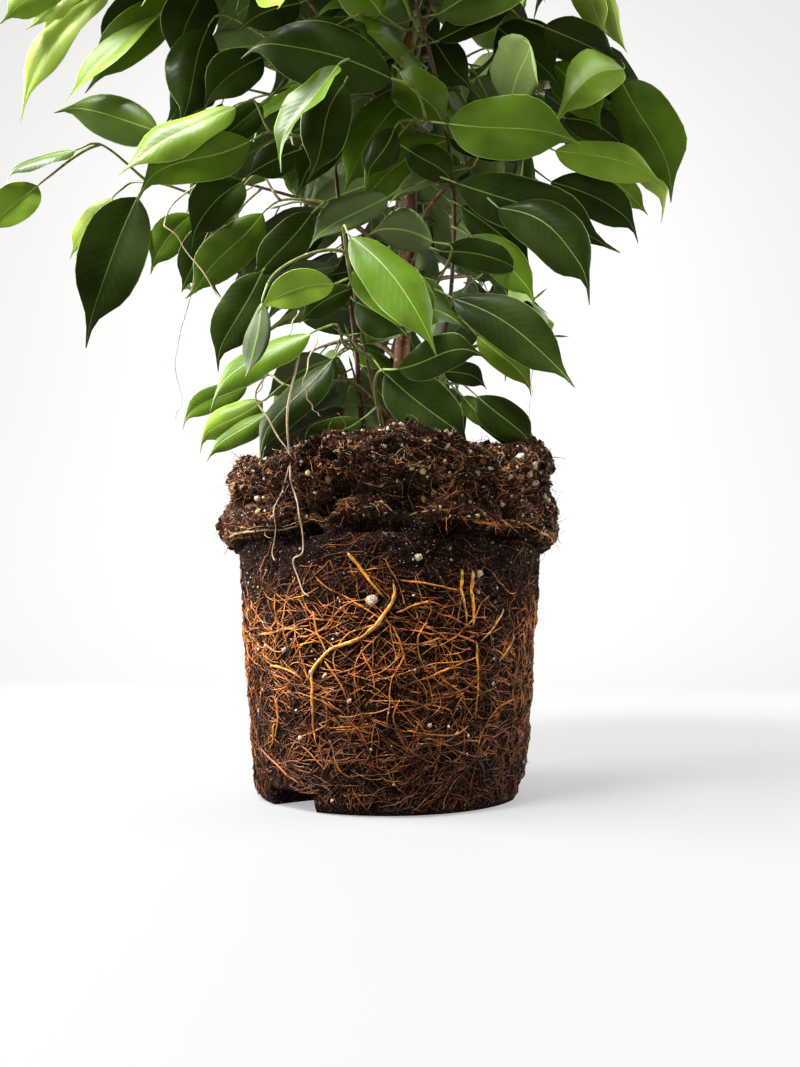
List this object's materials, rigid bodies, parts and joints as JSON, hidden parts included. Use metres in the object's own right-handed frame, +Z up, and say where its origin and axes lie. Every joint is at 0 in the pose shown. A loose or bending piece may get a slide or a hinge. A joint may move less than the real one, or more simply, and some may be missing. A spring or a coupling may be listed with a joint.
{
  "type": "sapling with root ball",
  "caption": "Weeping fig sapling lifted from its nursery pot, standing on its bare root ball, with a slim trunk, thin side stems, boughs and masses of pointed leaves.",
  "frame": {"origin": "centre of the flat underside of the root ball", "axes": "+Z up along the trunk; +X to the viewer's right and -Y towards the viewer, seen from the front"},
  "size_m": [0.4498, 0.4045, 0.9153],
  "materials": {
    "soil": "crumbly, matt, bound by orange roots",
    "bark": "smooth grey-brown bark",
    "young_bark": "thin young bark, brown to green",
    "leaf": "glossy dark green leaf"
  },
  "bodies": {
    "root": {"bough_01": "young_bark", "bough_02": "young_bark", "bough_03": "young_bark", "bough_04": "young_bark", "bough_05": "young_bark", "bough_06": "young_bark", "bough_07": "young_bark", "bough_08": "young_bark", "bough_09": "young_bark", "bough_10": "young_bark", "bough_11": "young_bark", "bough_12": "young_bark", "bough_13": "young_bark", "bough_14": "young_bark", "bough_15": "young_bark", "bough_16": "young_bark", "bough_17": "young_bark", "bough_18": "young_bark", "bough_19": "young_bark", "bough_20": "young_bark", "bough_21": "young_bark", "bough_22": "young_bark", "bough_23": "young_bark", "bough_24": "young_bark", "bough_25": "young_bark", "foliage_01": "leaf", "foliage_02": "leaf", "foliage_03": "leaf", "foliage_04": "leaf", "foliage_05": "leaf", "foliage_06": "leaf", "foliage_07": "leaf", "foliage_08": "leaf", "foliage_09": "leaf", "foliage_10": "leaf", "foliage_11": "leaf", "foliage_12": "leaf", "foliage_13": "leaf", "foliage_14": "leaf", "foliage_15": "leaf", "foliage_16": "leaf", "foliage_17": "leaf", "foliage_18": "leaf", "foliage_19": "leaf", "foliage_20": "leaf", "foliage_21": "leaf", "foliage_22": "leaf", "foliage_23": "leaf", "foliage_24": "leaf", "foliage_25": "leaf", "front_stem": "bark", "front_stem_foliage": "leaf", "leader_foliage": "leaf", "left_stem": "bark", "left_stem_foliage": "leaf", "right_stem": "bark", "right_stem_foliage": "leaf", "root_ball": "soil", "trunk": "bark"}
  },
  "joints": []
}
